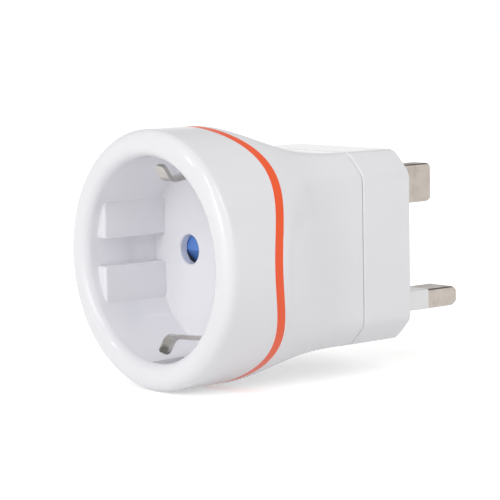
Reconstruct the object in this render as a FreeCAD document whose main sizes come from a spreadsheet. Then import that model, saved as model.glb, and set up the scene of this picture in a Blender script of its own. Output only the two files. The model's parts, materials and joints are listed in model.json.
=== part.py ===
import FreeCAD, Part
import math
import os
import re

import Sketcher

# A travel adapter: a round earthed socket on the front, a square plug with three flat pins on the back.
# Frame: millimetres, +Z up, +Y the way the plug pins point, +X to the side that shows in the photograph.
# The origin lies on the rear face, halfway between the centres of the line and neutral pins.

DRIVING_SIZES = [
    # Outer form
    ("body_length", 51.0, "front of the rim to the rear face"),
    ("body_radius", 24.9, "round front body"),
    ("axis_height", 11.9, "socket axis above the line of the line and neutral pins"),
    ("rim_round", 2.3, "outer edge of the rim"),
    ("mouth_round", 2.0, "inner edge of the rim"),
    ("half_flat", 18.95, "socket axis to each flat side of the plug end"),
    ("corner_radius", 23.75, "round corners of the plug end, about the socket axis"),
    ("form_blend", 0.8, "depth over which flats and corners melt together at the plug end and the ring"),
    ("flare_blend", 2.2, "the same depth in the middle of the flare"),
    ("rear_edge_round", 0.2, "edge round the rear face"),
    ("seam_round", 0.35, "edges along the seam"),
    ("base_depth", 12.4, "rear face to the seam"),
    ("seam_gap", 0.12, "shadow line at the seam"),
    ("flare_start", 14.9, "rear face to the foot of the flare"),
    ("flare_end", 36.07, "rear face to the top of the flare"),
    ("flare_hollow", 1.87, "power of the hollow curve of the flare"),
    ("flare_inside_start", 6.1, "foot of the flare to the foot of the flare inside"),
    ("flare_inside_end", 0.83, "top of the flare to the top of the flare inside"),
    ("corner_taper_start", 20.9, "rear face to where the corners start to widen"),
    ("corner_taper_end", 37.3, "rear face to where the corners reach the round body"),
    # Trim ring and the lip that carries it
    ("ring_place", 38.15, "rear face to the middle of the ring's wavy front edge"),
    ("ring_wave", 1.95, "rise and fall of the ring, four times round"),
    ("ring_width", 1.95, "width of the ring along the axis"),
    ("lip_radius", 23.1, "lip of the rear shell"),
    ("lip_wall", 1.6, "thickness of the lip"),
    ("lip_overlap", 4.4, "lip in front of the middle of the ring's front edge"),
    ("seat_gap", 0.05, "ring on its lip"),
    # Socket recess
    ("recess_radius", 19.7, "round recess for the mating plug"),
    ("recess_depth", 18.0, "front of the rim to the floor"),
    ("floor_thickness", 1.8, "floor of the recess"),
    ("floor_round", 0.6, "corner between the floor and the wall"),
    ("recess_wall", 1.4, "wall round the recess"),
    ("rim_thickness", 2.6, "front of the rim to the hollow behind it"),
    ("hole_spacing", 19.0, "between the two pin holes"),
    ("hole_radius", 2.9, "pin hole"),
    ("hole_round", 0.5, "edge of a pin hole in the recess"),
    ("rib_gap", 5.4, "groove between the two guide ribs of a side"),
    ("rib_height", 7.6, "height of a guide rib"),
    ("rib_reach", 17.0, "socket axis to the face of a rib"),
    ("rib_setback", 3.1, "front of the rim to the front of a rib"),
    ("rib_round", 0.6, "edges of a rib"),
    # Walls and clearances
    ("shell_wall", 1.6, "wall of the rear shell"),
    ("rear_wall", 2.2, "rear wall of the plug base"),
    ("tongue_wall", 1.2, "tongue of the plug base inside the rear shell"),
    ("tongue_length", 2.0, "tongue in front of the seam"),
    ("wall_gap", 0.1, "clearance between walls that slide together"),
    # Earth clips
    ("clip_width", 2.8, "width of an earth clip"),
    ("strip_thickness", 0.8, "sheet of the clips, strips and busbars"),
    ("clip_root", 17.3, "socket axis to the root of a clip"),
    ("clip_root_depth", 1.0, "floor's back to the middle of a clip's foot"),
    ("clip_foot", 3.7, "length of the foot behind the floor"),
    ("clip_apex", 14.9, "socket axis to the inmost bend of a clip"),
    ("clip_apex_depth", 5.9, "front of the rim to that bend"),
    ("clip_tip", 18.0, "socket axis to the tip of a clip"),
    ("clip_tip_depth", 3.9, "front of the rim to that tip"),
    ("clip_tip_round", 0.9, "corners of the tip"),
    ("clip_apex_bend", 1.7, "bend at the apex"),
    ("clip_foot_bend", 0.9, "bend at the root"),
    ("clip_side_gap", 0.5, "clearance beside a clip"),
    ("slot_inner", 16.2, "socket axis to the inner end of a clip's slot"),
    ("slot_outer", 20.6, "socket axis to the bottom of a clip's groove"),
    ("slot_setback", 2.4, "front of the rim to the start of that groove"),
    # Shutter
    ("shutter_gap", 0.2, "shutter behind the floor"),
    ("shutter_web", 1.6, "thickness of the web"),
    ("shutter_pad", 2.8, "thickness of a pad"),
    ("pad_radius", 3.6, "pad that covers a pin hole"),
    ("web_half_height", 2.2, "half height of the web"),
    ("hub_radius", 4.2, "hub of the shutter"),
    ("post_radius", 1.6, "post that the shutter turns on"),
    ("post_gap", 0.05, "running clearance on the post"),
    ("ramp_start", 0.3, "middle of a pad to the start of its ramp"),
    ("ramp_depth", 2.2, "depth of a ramp at the edge of the pad"),
    ("spring_radius", 2.5, "middle radius of the shutter spring"),
    ("spring_wire", 0.4, "wire of the shutter spring"),
    ("spring_pitch", 0.46, "pitch of the shutter spring"),
    ("spring_turns", 2.25, "turns of the shutter spring"),
    ("spring_leg", 4.0, "length of a leg of the shutter spring"),
    ("peg_radius", 0.5, "pegs that hold the legs of the spring"),
    ("peg_reach", 3.2, "coil's tangent point to a peg"),
    ("peg_length", 0.9, "length of a peg"),
    # Contact carrier and contacts
    ("carrier_gap", 3.4, "floor's back to the front of the carrier"),
    ("carrier_plate", 1.6, "plate of the carrier"),
    ("carrier_half_width", 16.2, "half width of the plate"),
    ("carrier_half_height", 7.0, "half height of the plate"),
    ("tower_half", 4.4, "half side of a contact tower"),
    ("tower_bore", 3.6, "bore of a contact tower"),
    ("standoff_inner", 13.9, "socket axis to a stand-off"),
    ("standoff_half_height", 3.0, "half height of a stand-off"),
    ("contact_bore", 2.42, "bore of a socket contact"),
    ("contact_wall", 0.55, "wall of a socket contact"),
    ("contact_slit", 0.8, "slits between the contact fingers"),
    ("contact_root", 4.3, "end of the slits to the end of the tower"),
    ("contact_setback", 0.2, "carrier plate to the mouth of a contact"),
    ("contact_plate_half", 3.4, "half side of a contact's tail plate"),
    ("band_wall", 0.4, "wall of the ring that closes the fingers"),
    ("band_gap", 0.02, "that ring on the fingers"),
    ("band_width", 2.0, "width of that ring"),
    ("band_place", 1.5, "mouth of the contact to that ring"),
    # Earth strap and link
    ("strap_half_width", 2.5, "half width of the earth strap"),
    ("strap_half_height", 14.6, "socket axis to each leg of the earth strap"),
    ("strap_bend", 1.0, "bends of the earth strap"),
    ("foot_gap", 0.2, "earth strap to the foot of a clip"),
    ("link_half_width", 2.2, "half width of the earth link"),
    # Pins
    ("line_spacing", 22.2, "between the line and neutral pins"),
    ("earth_rise", 22.2, "earth pin above the line of the other two"),
    ("flat_pin_width", 6.35, "line and neutral pins, across"),
    ("flat_pin_height", 3.95, "line and neutral pins, up"),
    ("flat_pin_length", 17.7, "line and neutral pins, from the rear face"),
    ("earth_pin_width", 4.0, "earth pin, across"),
    ("earth_pin_height", 8.0, "earth pin, up"),
    ("earth_pin_length", 22.7, "earth pin, from the rear face"),
    ("pin_chamfer", 1.1, "ends of the pins"),
    ("pin_edge_round", 0.3, "long edges of the pins"),
    ("sleeve_length", 9.5, "insulating sleeve, from the rear face"),
    ("sleeve_wall", 0.65, "insulating sleeve"),
    ("pin_hole_gap", 0.05, "pin in the rear wall"),
    ("flange_margin", 0.7, "flange round a pin, inside the rear wall"),
    ("flange_round", 1.9, "corners of a flange"),
    ("flange_depth", 3.0, "thickness of a flange"),
    ("tail_half_width", 2.5, "half width of a flat pin's tail"),
    ("tail_half_height", 1.2, "half height of a flat pin's tail"),
    ("earth_tail_half", 2.0, "half height of the earth pin's tail"),
    ("earth_tail_length", 3.5, "tail of the earth pin behind its flange"),
    ("pocket_wall", 1.0, "wall round a pin's flange"),
    # Fuse
    ("fuse_length", 25.4, "fuse over its caps"),
    ("fuse_radius", 3.175, "caps of the fuse"),
    ("cap_length", 5.6, "cap of the fuse"),
    ("cap_wall", 0.25, "metal of the caps"),
    ("tube_bore", 1.9, "bore of the ceramic tube"),
    ("element_radius", 0.15, "fuse wire"),
    ("fuse_height", 9.6, "fuse above the line of the line and neutral pins"),
    ("fuse_depth", 5.0, "rear face to the middle of the fuse"),
    ("well_depth", 10.4, "rear face to the bottom of the fuse well"),
    ("well_wall", 1.2, "side walls of the well"),
    ("drawer_margin", 1.1, "end of the fuse to the side of the drawer's face"),
    ("drawer_half_height", 4.25, "half height of the drawer's face"),
    ("drawer_face", 1.6, "thickness of the drawer's face"),
    ("drawer_gap", 0.15, "drawer in its well"),
    ("cradle_end_gap", 0.3, "cradle round the fuse to its caps"),
    ("cradle_depth", 9.0, "rear face to the front of the cradle"),
    ("cradle_gap", 0.05, "fuse in its cradle"),
    ("throat_half", 2.85, "half width of the slot that the fuse snaps through"),
    ("notch_half_width", 1.5, "half width of the screwdriver notch"),
    ("notch_height", 0.9, "height of the notch"),
    ("notch_depth", 1.0, "depth of the notch"),
    ("fuse_clip_width", 3.6, "fuse clip"),
    ("fuse_clip_inset", 0.5, "end of the fuse to the edge of its clip"),
    ("fuse_clip_gap", 0.025, "fuse cap in its clip"),
    ("fuse_clip_reach", 3.2, "rear face to the ends of the jaws"),
    ("fuse_clip_bend", 0.7, "outer bends of a fuse clip"),
    ("lead_half_width", 1.8, "half width of the lead to the line pin"),
    ("tab_half_width", 2.0, "half width of the tab to the line contact"),
    ("slot_gap", 0.2, "strip in the slot of a wall"),
    # Neutral busbar
    ("busbar_half_width", 1.95, "half width of the neutral busbar"),
    ("busbar_riser", 3.0, "middle plane to the middle of its riser"),
    # Fasteners
    ("screw_place", 13.0, "middle plane to each housing screw"),
    ("screw_rise", 10.6, "housing screws above the socket axis"),
    ("screw_radius", 1.45, "shank of a housing screw"),
    ("screw_head_radius", 2.7, "head of a housing screw"),
    ("screw_head_depth", 2.0, "thickness of the head"),
    ("screw_seat", 5.0, "rear face to the seat of the head"),
    ("screw_length", 19.0, "length under the head"),
    ("screw_end_gap", 1.0, "end of the screw to the end of its bore"),
    ("screw_gap", 0.15, "clearance hole round the shank and the head"),
    ("screw_bore_gap", 0.05, "shank in its boss"),
    ("recess_arm_half", 0.4, "half width of an arm of the cross recess"),
    ("recess_arm_reach", 1.6, "reach of an arm of the cross recess"),
    ("recess_arm_depth", 1.2, "depth of the cross recess"),
    ("boss_radius", 3.0, "boss behind the floor"),
    ("base_boss_radius", 3.8, "boss in the plug base"),
    ("boss_meet", 16.0, "rear face to where the bosses meet"),
    ("rivet_radius", 0.9, "shank of a rivet"),
    ("rivet_head", 1.6, "head of a rivet"),
    ("rivet_head_depth", 0.65, "thickness of that head"),
    ("rivet_grip", 2.4, "length of the shank"),
]

WAVES_ROUND = 4
POINTS_ROUND = 240
WAVE_POINTS = 96
FORM_STEP = 0.9
TOOL_MARGIN = 5.0
NEAR = 1e-4

doc = FreeCAD.newDocument("travel_adapter")
sheet = doc.addObject("Spreadsheet::Sheet", "Sizes")
for row, (alias, number, meaning) in enumerate(DRIVING_SIZES, start=1):
    sheet.set(f"A{row}", meaning)
    sheet.set(f"B{row}", str(number))
    sheet.setAlias(f"B{row}", alias)
doc.recompute()
ALIASES = re.compile(r"\b(" + "|".join(alias for alias, number, meaning in DRIVING_SIZES) + r")\b")

# Places along the axis that several pieces share, all counted from the rear face
FRONT = "-body_length"
FLOOR = "(recess_depth - body_length)"
BACK = "(recess_depth + floor_thickness - body_length)"
MID_FLOOR = "(recess_depth + floor_thickness / 2 - body_length)"
CARRIER = f"({BACK} + carrier_gap)"
CARRIER_BACK = f"({CARRIER} + carrier_plate)"
BUSBAR_BACK = "(-well_depth - well_wall)"
PLATE_BACK = f"({BUSBAR_BACK} - strip_thickness)"
TOWER_END = f"({PLATE_BACK} - strip_thickness)"
SHUTTER = f"({BACK} + shutter_gap)"
WEB_BACK = f"({SHUTTER} + shutter_web)"
FLANGE = "(-rear_wall - flange_depth)"
CLIP_WEB = "(strip_thickness - well_depth)"
SKIN_INNER = "(lip_radius + wall_gap)"
DRAWER_HALF = "(fuse_length / 2 + drawer_margin)"
CRADLE_HALF = "(fuse_length / 2 - cap_length - cradle_end_gap)"
HOLE_X = "hole_spacing / 2"
PIN_X = "line_spacing / 2"
SIDES = (("near", 1), ("far", -1))
LEVELS = (("upper", 1), ("lower", -1))


def expand(text):
    """Point every bare alias in an expression to the sheet."""
    return ALIASES.sub(r"Sizes.\1", text)


def value(text):
    """Return what an expression of aliases comes to now."""
    return float(sheet.evalExpression(expand(f"({text}) * 1")))


def bind(thing, prop, text):
    """Bind one property of an object to an expression of aliases."""
    thing.setExpression(prop, expand(text))


def up(text):
    """Turn a height above the socket axis into a height in the frame."""
    return f"(axis_height + ({text}))"


def about(middle, half):
    """Return the two ends of a span that is centred on a place."""
    return (f"({middle}) - ({half})", f"({middle}) + ({half})")


def span(first, second):
    """Return two places with the lower one first."""
    return tuple(sorted((first, second), key=value))


def box(label, x, y, z):
    """Add a block between three pairs of coordinates."""
    solid = doc.addObject("Part::Box", label)
    for size, axis, (low, high) in (("Length", "x", x), ("Width", "y", y), ("Height", "z", z)):
        bind(solid, size, f"({high}) - ({low})")
        bind(solid, f"Placement.Base.{axis}", low)
    return solid


def rod(label, radius, y, x="0", z="axis_height"):
    """Add a round bar along Y."""
    solid = doc.addObject("Part::Cylinder", label)
    solid.Placement = FreeCAD.Placement(FreeCAD.Vector(), FreeCAD.Rotation(FreeCAD.Vector(1, 0, 0), -90))
    bind(solid, "Radius", radius)
    bind(solid, "Height", f"({y[1]}) - ({y[0]})")
    for axis, place in (("x", x), ("y", y[0]), ("z", z)):
        bind(solid, f"Placement.Base.{axis}", place)
    return solid


def cross_rod(label, radius, x, y="-fuse_depth", z="fuse_height"):
    """Add a round bar along X, on the axis of the fuse unless told otherwise."""
    solid = doc.addObject("Part::Cylinder", label)
    solid.Placement = FreeCAD.Placement(FreeCAD.Vector(), FreeCAD.Rotation(FreeCAD.Vector(0, 1, 0), 90))
    bind(solid, "Radius", radius)
    bind(solid, "Height", f"({x[1]}) - ({x[0]})")
    for axis, place in (("x", x[0]), ("y", y), ("z", z)):
        bind(solid, f"Placement.Base.{axis}", place)
    return solid


def fuse(label, shapes):
    """Join several solids into one."""
    solid = doc.addObject("Part::MultiFuse", label)
    solid.Shapes = shapes
    solid.Refine = True
    return solid


def cut(label, base, tools):
    """Take one or more solids away from another."""
    solid = doc.addObject("Part::Cut", label)
    solid.Base = base
    solid.Tool = tools[0] if len(tools) == 1 else fuse(f"{label}_tools", tools)
    solid.Refine = True
    return solid


def common(label, shapes):
    """Keep what several solids have in common."""
    solid = doc.addObject("Part::MultiCommon", label)
    solid.Shapes = shapes
    return solid


def sketch_outline(body, role, corners):
    """Draw a closed outline whose every corner is bound to the sheet."""
    plane = next(item for item in body.Origin.OriginFeatures if item.Role == role)
    sketch = body.newObject("Sketcher::SketchObject", f"{body.Name}_outline")
    sketch.AttachmentSupport = [(plane, "")]
    sketch.MapMode = "FlatFace"
    points = [FreeCAD.Vector(value(across), value(along), 0) for across, along in corners]
    count = len(points)
    for index in range(count):
        sketch.addGeometry(Part.LineSegment(points[index], points[(index + 1) % count]), False)
    for index in range(count):
        sketch.addConstraint(Sketcher.Constraint("Coincident", index, 2, (index + 1) % count, 1))
    for index, (across, along) in enumerate(corners):
        places = ("DistanceX", across, points[index].x), ("DistanceY", along, points[index].y)
        for kind, text, place in places:
            number = sketch.addConstraint(Sketcher.Constraint(kind, -1, 1, index, 1, place))
            bind(sketch, f"Constraints[{number}]", text)
    return sketch


def prism(label, role, corners, depth):
    """Pad an outline on the XY or YZ plane between two depths."""
    body = doc.addObject("PartDesign::Body", label)
    sketch = sketch_outline(body, role, corners)
    low, high = depth
    bind(sketch, "AttachmentOffset.Base.z", low)
    pad = body.newObject("PartDesign::Pad", f"{label}_pad")
    pad.Profile = sketch
    bind(pad, "Length", f"({high}) - ({low})")
    return body


def turned(label, corners):
    """Turn an outline of (radius, y) corners about the socket axis."""
    body = doc.addObject("PartDesign::Body", label)
    sketch = sketch_outline(body, "XY_Plane", corners)
    turn = body.newObject("PartDesign::Revolution", f"{label}_turn")
    turn.Profile = sketch
    turn.ReferenceAxis = (sketch, ["V_Axis"])
    turn.Angle = 360
    bind(body, "Placement.Base.z", "axis_height")
    return body


def dress(body, kind, size, edges):
    """Round or chamfer the named edges of a body's last feature."""
    tip = body.Tip
    feature = body.newObject(f"PartDesign::{kind}", f"{body.Name}_{kind.lower()}")
    feature.Base = (tip, edges)
    bind(feature, "Radius" if kind == "Fillet" else "Size", size)
    doc.recompute()
    return body


def picked(shape, pick):
    """Return the names of the edges that a test picks."""
    return [f"Edge{number}" for number, edge in enumerate(shape.Edges, 1) if pick(edge)]


def dressed(label, block, kind, size, pick):
    """Start a body from a block, in the block's place, and round or chamfer its picked edges."""
    doc.recompute()
    body = doc.addObject("PartDesign::Body", label)
    body.BaseFeature = block
    for axis in ("x", "y", "z"):
        body.setExpression(f"Placement.Base.{axis}", f"{block.Name}.Placement.Base.{axis}")
    doc.recompute()
    return dress(body, kind, size, picked(block.Shape, pick))


def circle_at(radius, y):
    """Pick the full circles of one radius in one plane across the axis."""
    around, place = 2 * math.pi * value(radius), value(y)
    return lambda edge: (
        abs(edge.Length - around) < NEAR
        and abs(edge.BoundBox.YMin - place) < NEAR
        and abs(edge.BoundBox.YMax - place) < NEAR
    )


def lies_at(edge, axis, place):
    """Tell whether an edge lies in one plane across an axis."""
    return all(abs(getattr(point, axis) - place) < NEAR for point in (edge.Vertexes[0], edge.Vertexes[-1]))


def runs_along_y(edge):
    """Tell whether an edge is straight and runs along the axis."""
    start, end = edge.Vertexes[0], edge.Vertexes[-1]
    return abs(start.X - end.X) < NEAR and abs(start.Z - end.Z) < NEAR


def shape_feature(label, shape):
    """Keep a free-form shape that was worked out from the sheet."""
    feature = doc.addObject("Part::Feature", label)
    feature.Shape = shape
    return feature


def closed_curve(points):
    """Draw a smooth closed curve through points, with the same knots for every curve of as many points."""
    curve = Part.BSplineCurve()
    knots = [float(index) for index in range(len(points) + 1)]
    curve.interpolate(Points=points, PeriodicFlag=True, Parameters=knots)
    return curve.toShape()


def wavy_circle(radius, middle, swing):
    """Draw a circle about the socket axis that waves along it."""
    height = value("axis_height")
    points = []
    for index in range(WAVE_POINTS):
        turn = 2 * math.pi * index / WAVE_POINTS
        y = middle - swing * math.cos(WAVES_ROUND * turn)
        points.append(FreeCAD.Vector(radius * math.cos(turn), y, height + radius * math.sin(turn)))
    return closed_curve(points)


def wavy_block(label, inner, outer, edge_y, end_y, end_wave):
    """Make a thick tube with a wavy end, four waves round, and another end that waves or is flat."""
    wave = value("ring_wave")
    loops = [
        wavy_circle(inner, edge_y, wave),
        wavy_circle(outer, edge_y, wave),
        wavy_circle(outer, end_y, end_wave),
        wavy_circle(inner, end_y, end_wave),
    ]
    pairs = zip(loops, loops[1:] + loops[:1])
    shell = Part.Shell([Part.makeRuledSurface(first, second) for first, second in pairs])
    return shape_feature(label, Part.Solid(shell))


def soft_min(first, second, depth):
    """Return the smaller of two numbers, with a soft passage from one to the other."""
    near = max(depth - abs(first - second), 0.0)
    return min(first, second) - near * near / (4 * depth)


def flat_reach(depth):
    """Return the half width over the flats at a depth from the rear face."""
    half, start = value("half_flat"), value("flare_start")
    share = max(depth - start, 0.0) / (value("flare_end") - start)
    return half + (value("body_radius") - half) * share ** value("flare_hollow")


def corner_reach(depth):
    """Return the radius of the corners at a depth from the rear face."""
    start, end = value("corner_taper_start"), value("corner_taper_end")
    share = min(max((depth - start) / (end - start), 0.0), 1.0)
    smooth = share * share * (3 - 2 * share)
    return value("corner_radius") + (value("body_radius") - value("corner_radius")) * smooth


def blend_depth(depth):
    """Return how softly flats and corners melt together, which is most in the middle of the flare."""
    share = (depth - value("base_depth")) / value("ring_place - base_depth")
    swell = math.sin(math.pi * min(max(share, 0.0), 1.0)) ** 2
    return value("form_blend") + (value("flare_blend") - value("form_blend")) * swell


def form_section(depth):
    """Draw the outer form's section at a depth from the rear face."""
    flat, corner = flat_reach(depth), corner_reach(depth)
    blend, height = blend_depth(depth), value("axis_height")
    points = []
    for index in range(POINTS_ROUND):
        turn = 2 * math.pi * index / POINTS_ROUND
        across, along = math.cos(turn), math.sin(turn)
        radius = soft_min(corner, flat / max(abs(across), abs(along)), blend)
        points.append(FreeCAD.Vector(radius * across, -depth, height + radius * along))
    return Part.Wire(closed_curve(points))


def in_plane(shape, depth):
    """Return the edges that lie at one depth from the rear face."""
    return [
        edge for edge in shape.Edges
        if abs(edge.BoundBox.YMin + depth) < 1e-3 and abs(edge.BoundBox.YMax + depth) < 1e-3
    ]


def bent_path(corners, bends):
    """Join (y, z) corners by straight runs with a round bend at each inner corner."""
    points = [FreeCAD.Vector(0, y, z) for y, z in corners]
    edges = []
    start = points[0]
    for before, corner, after, radius in zip(points, points[1:], points[2:], bends):
        inward = (before - corner).normalize()
        outward = (after - corner).normalize()
        half = inward.getAngle(outward) / 2
        first = corner + inward * (radius / math.tan(half))
        last = corner + outward * (radius / math.tan(half))
        centre = corner + (inward + outward).normalize() * (radius / math.sin(half))
        middle = centre + (corner - centre).normalize() * radius
        edges.append(Part.LineSegment(start, first).toShape())
        edges.append(Part.Arc(first, middle, last).toShape())
        start = last
    edges.append(Part.LineSegment(start, points[-1]).toShape())
    return Part.Wire(edges)


def bent_strip(label, corners, bends, half_width, end_round=None):
    """Make a strip of sheet metal that follows a bent path, with the corners of its far end rounded."""
    numbers = [(value(y), value(z)) for y, z in corners]
    path = bent_path(numbers, [value(bend) for bend in bends])
    start = FreeCAD.Vector(0, *numbers[0])
    along = (FreeCAD.Vector(0, *numbers[1]) - start).normalize()
    across = FreeCAD.Vector(1, 0, 0).cross(along) * (value("strip_thickness") / 2)
    side = FreeCAD.Vector(value(half_width), 0, 0)
    ends = [start + across + side, start - across + side, start - across - side, start + across - side]
    profile = Part.makePolygon(ends + ends[:1])
    strip = path.makePipeShell([profile], True, False)
    if end_round:
        far, near_end = FreeCAD.Vector(0, *numbers[-1]), value(f"2 * ({half_width})")
        corner_edges = [
            edge for edge in strip.Edges
            if abs(edge.Vertexes[0].X - edge.Vertexes[-1].X) < NEAR
            and all(vertex.Point.distanceToPoint(far) < near_end for vertex in edge.Vertexes)
            and abs(edge.Length - value("strip_thickness")) < NEAR
        ]
        strip = strip.makeFillet(value(end_round), corner_edges)
    return shape_feature(label, strip)


def rounded_square(label, half, radius, y):
    """Make a square block with its corners on a circle about the socket axis."""
    square = box(f"{label}_square", about("0", half), y, about("axis_height", half))
    return common(label, [square, rod(f"{label}_round", radius, y)])


# Wavy edges that the housing, the ring and the rear shell share
ring_front = -value("ring_place")
ring_rear = ring_front + value("ring_width")
tool_outer = value("body_radius") + TOOL_MARGIN
lip_middle = value("lip_radius - lip_wall / 2")
behind_end, ahead_end = ring_front + 2 * TOOL_MARGIN, ring_rear - 2 * TOOL_MARGIN
behind_front = wavy_block("behind_ring_front", lip_middle, tool_outer, ring_front, behind_end, 0.0)
ahead_of_rear = wavy_block(
    "ahead_of_ring_rear", value("lip_radius"), tool_outer, ring_rear, ahead_end, 0.0
)

# Front housing: rim, recess, floor, guide ribs, bosses and the post of the shutter
SKIN_END = "(1 + ring_wave - ring_place)"
HOLLOW_FRONT = f"({FRONT} + rim_thickness)"
RECESS_OUTER = "(recess_radius + recess_wall)"
cup = turned("front_cup", [
    ("0", FLOOR),
    ("recess_radius", FLOOR),
    ("recess_radius", FRONT),
    ("body_radius", FRONT),
    ("body_radius", SKIN_END),
    (SKIN_INNER, SKIN_END),
    (SKIN_INNER, HOLLOW_FRONT),
    (RECESS_OUTER, HOLLOW_FRONT),
    (RECESS_OUTER, BACK),
    ("0", BACK),
])
doc.recompute()
for size, radius, y in (
    ("rim_round", "body_radius", FRONT),
    ("mouth_round", "recess_radius", FRONT),
    ("floor_round", "recess_radius", FLOOR),
):
    dress(cup, "Fillet", size, picked(cup.Tip.Shape, circle_at(radius, y)))

ribs = []
rib_front = f"({FRONT} + rib_setback)"
for side_name, side in SIDES:
    rib_face, rib_root = f"{side} * rib_reach", f"{side} * (recess_radius + recess_wall)"
    face_x, root_x = value(rib_face), value(rib_root)
    for level_name, rise in LEVELS:
        z = span(up(f"{rise} * rib_gap / 2"), up(f"{rise} * (rib_gap / 2 + rib_height)"))
        name = f"rib_{side_name}_{level_name}"
        block = box(f"{name}_block", span(rib_face, rib_root), (rib_front, MID_FLOOR), z)
        ribs.append(dressed(name, block, "Fillet", "rib_round", lambda edge: (
            (lies_at(edge, "X", face_x) or lies_at(edge, "Y", value(rib_front)))
            and not lies_at(edge, "Y", value(MID_FLOOR))
            and not lies_at(edge, "X", root_x)
        )))
rib_limit = rod("rib_limit", "recess_radius + recess_wall / 2", (FRONT, BACK))
rib_set = common("rib_set", [fuse("rib_blocks", ribs), rib_limit])

front_parts = [cup, rib_set, rod("shutter_post", "post_radius", (MID_FLOOR, f"{CARRIER} - wall_gap"))]
front_tools = [behind_front]
bore_end = "-screw_seat - screw_length - screw_end_gap"
for name, side in SIDES:
    screw_x, hole_x, screw_z = f"{side} * screw_place", f"{side} * {HOLE_X}", up("screw_rise")
    standoff_x = span(f"{side} * standoff_inner", f"{side} * carrier_half_width")
    standoff_z = about("axis_height", "standoff_half_height")
    front_parts.append(rod(f"boss_{name}", "boss_radius", (MID_FLOOR, "-boss_meet"), screw_x, screw_z))
    front_parts.append(box(f"standoff_{name}", standoff_x, (MID_FLOOR, CARRIER), standoff_z))
    front_tools.append(rod(f"pin_hole_{name}", "hole_radius", (f"{FLOOR} - 1", f"{BACK} + 1"), hole_x))
    front_tools.append(rod(
        f"screw_bore_{name}", "screw_radius + screw_bore_gap", (bore_end, "1 - boss_meet"), screw_x, screw_z
    ))
for name, rise in LEVELS:
    slot_x = about("0", "clip_width / 2 + clip_side_gap")
    slot_z = span(up(f"{rise} * slot_inner"), up(f"{rise} * slot_outer"))
    front_tools.append(box(f"clip_slot_{name}", slot_x, (f"{FRONT} + slot_setback", f"{BACK} + 1"), slot_z))
front_bored = cut("front_bored", fuse("front_solid", front_parts), front_tools)
hole_edges = circle_at("hole_radius", FLOOR)
front_housing = dressed("front_housing", front_bored, "Fillet", "hole_round", hole_edges)

# Trim ring, a band that waves four times round the body
trim_ring = wavy_block(
    "trim_ring", value("lip_radius + seat_gap"), value("body_radius"), ring_front, ring_rear,
    value("ring_wave"),
)

# Rear shell: square at the seam, round at the ring, with the lip that the ring sits on
lip_front = value("ring_place + lip_overlap")
seam_depth = value("base_depth + seam_gap / 2")
steps = int((value("ring_place + ring_wave") - seam_depth) / FORM_STEP)
depths = [seam_depth + FORM_STEP * step for step in range(steps + 1)]
depths += [(depths[-1] + lip_front) / 2, lip_front]
form = Part.makeLoft([form_section(depth) for depth in depths], True, False)
form = form.makeFillet(value("seam_round"), in_plane(form, seam_depth))
shell_form = shape_feature("rear_shell_form", form)
INNER_FLAT = "(half_flat - shell_wall)"
INNER_TOP = "(body_radius - shell_wall)"
CAVITY_FRONT = "(-ring_place - lip_overlap - 1)"
CAVITY_REAR = "(1 - base_depth)"
inner_half = [
    (INNER_FLAT, CAVITY_REAR),
    (INNER_FLAT, "-flare_start - flare_inside_start"),
    (INNER_TOP, "-flare_end - flare_inside_end"),
    (INNER_TOP, CAVITY_FRONT),
]
wide_corners = inner_half + [(f"-{across}", along) for across, along in reversed(inner_half)]
tall_corners = [(along, up(across)) for across, along in wide_corners]
cavity = common("rear_shell_cavity", [
    rod("cavity_round", "lip_radius - lip_wall", (CAVITY_FRONT, CAVITY_REAR)),
    prism("cavity_wide", "XY_Plane", wide_corners, (up("-body_radius"), up("body_radius"))),
    prism("cavity_tall", "YZ_Plane", tall_corners, ("-body_radius", "body_radius")),
])
rear_shell = cut("rear_shell", shell_form, [cavity, ahead_of_rear])

# Plug base: rear wall, fuse well, pin pockets, screw bosses and the tongue inside the rear shell
base_front = value("base_depth - seam_gap / 2")
base_form = Part.Face(form_section(0.0)).extrude(FreeCAD.Vector(0, -base_front, 0))
base_form = base_form.makeFillet(value("rear_edge_round"), in_plane(base_form, 0.0))
base_form = base_form.makeFillet(value("seam_round"), in_plane(base_form, base_front))
base_block = shape_feature("plug_base_form", base_form)
TONGUE_FRONT = "(-base_depth - tongue_length)"
TONGUE_HALF = "(half_flat - shell_wall - wall_gap)"
TONGUE_ROUND = "(lip_radius - lip_wall - wall_gap)"
tongue = rounded_square("tongue", TONGUE_HALF, TONGUE_ROUND, (TONGUE_FRONT, "1 - base_depth"))
hollow_span = (f"{TONGUE_FRONT} - 1", "-rear_wall")
hollow = rounded_square(
    "base_hollow", f"{TONGUE_HALF} - tongue_wall", f"{TONGUE_ROUND} - tongue_wall", hollow_span
)
base_shell = cut("base_shell", fuse("base_stock", [base_block, tongue]), [hollow])

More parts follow.
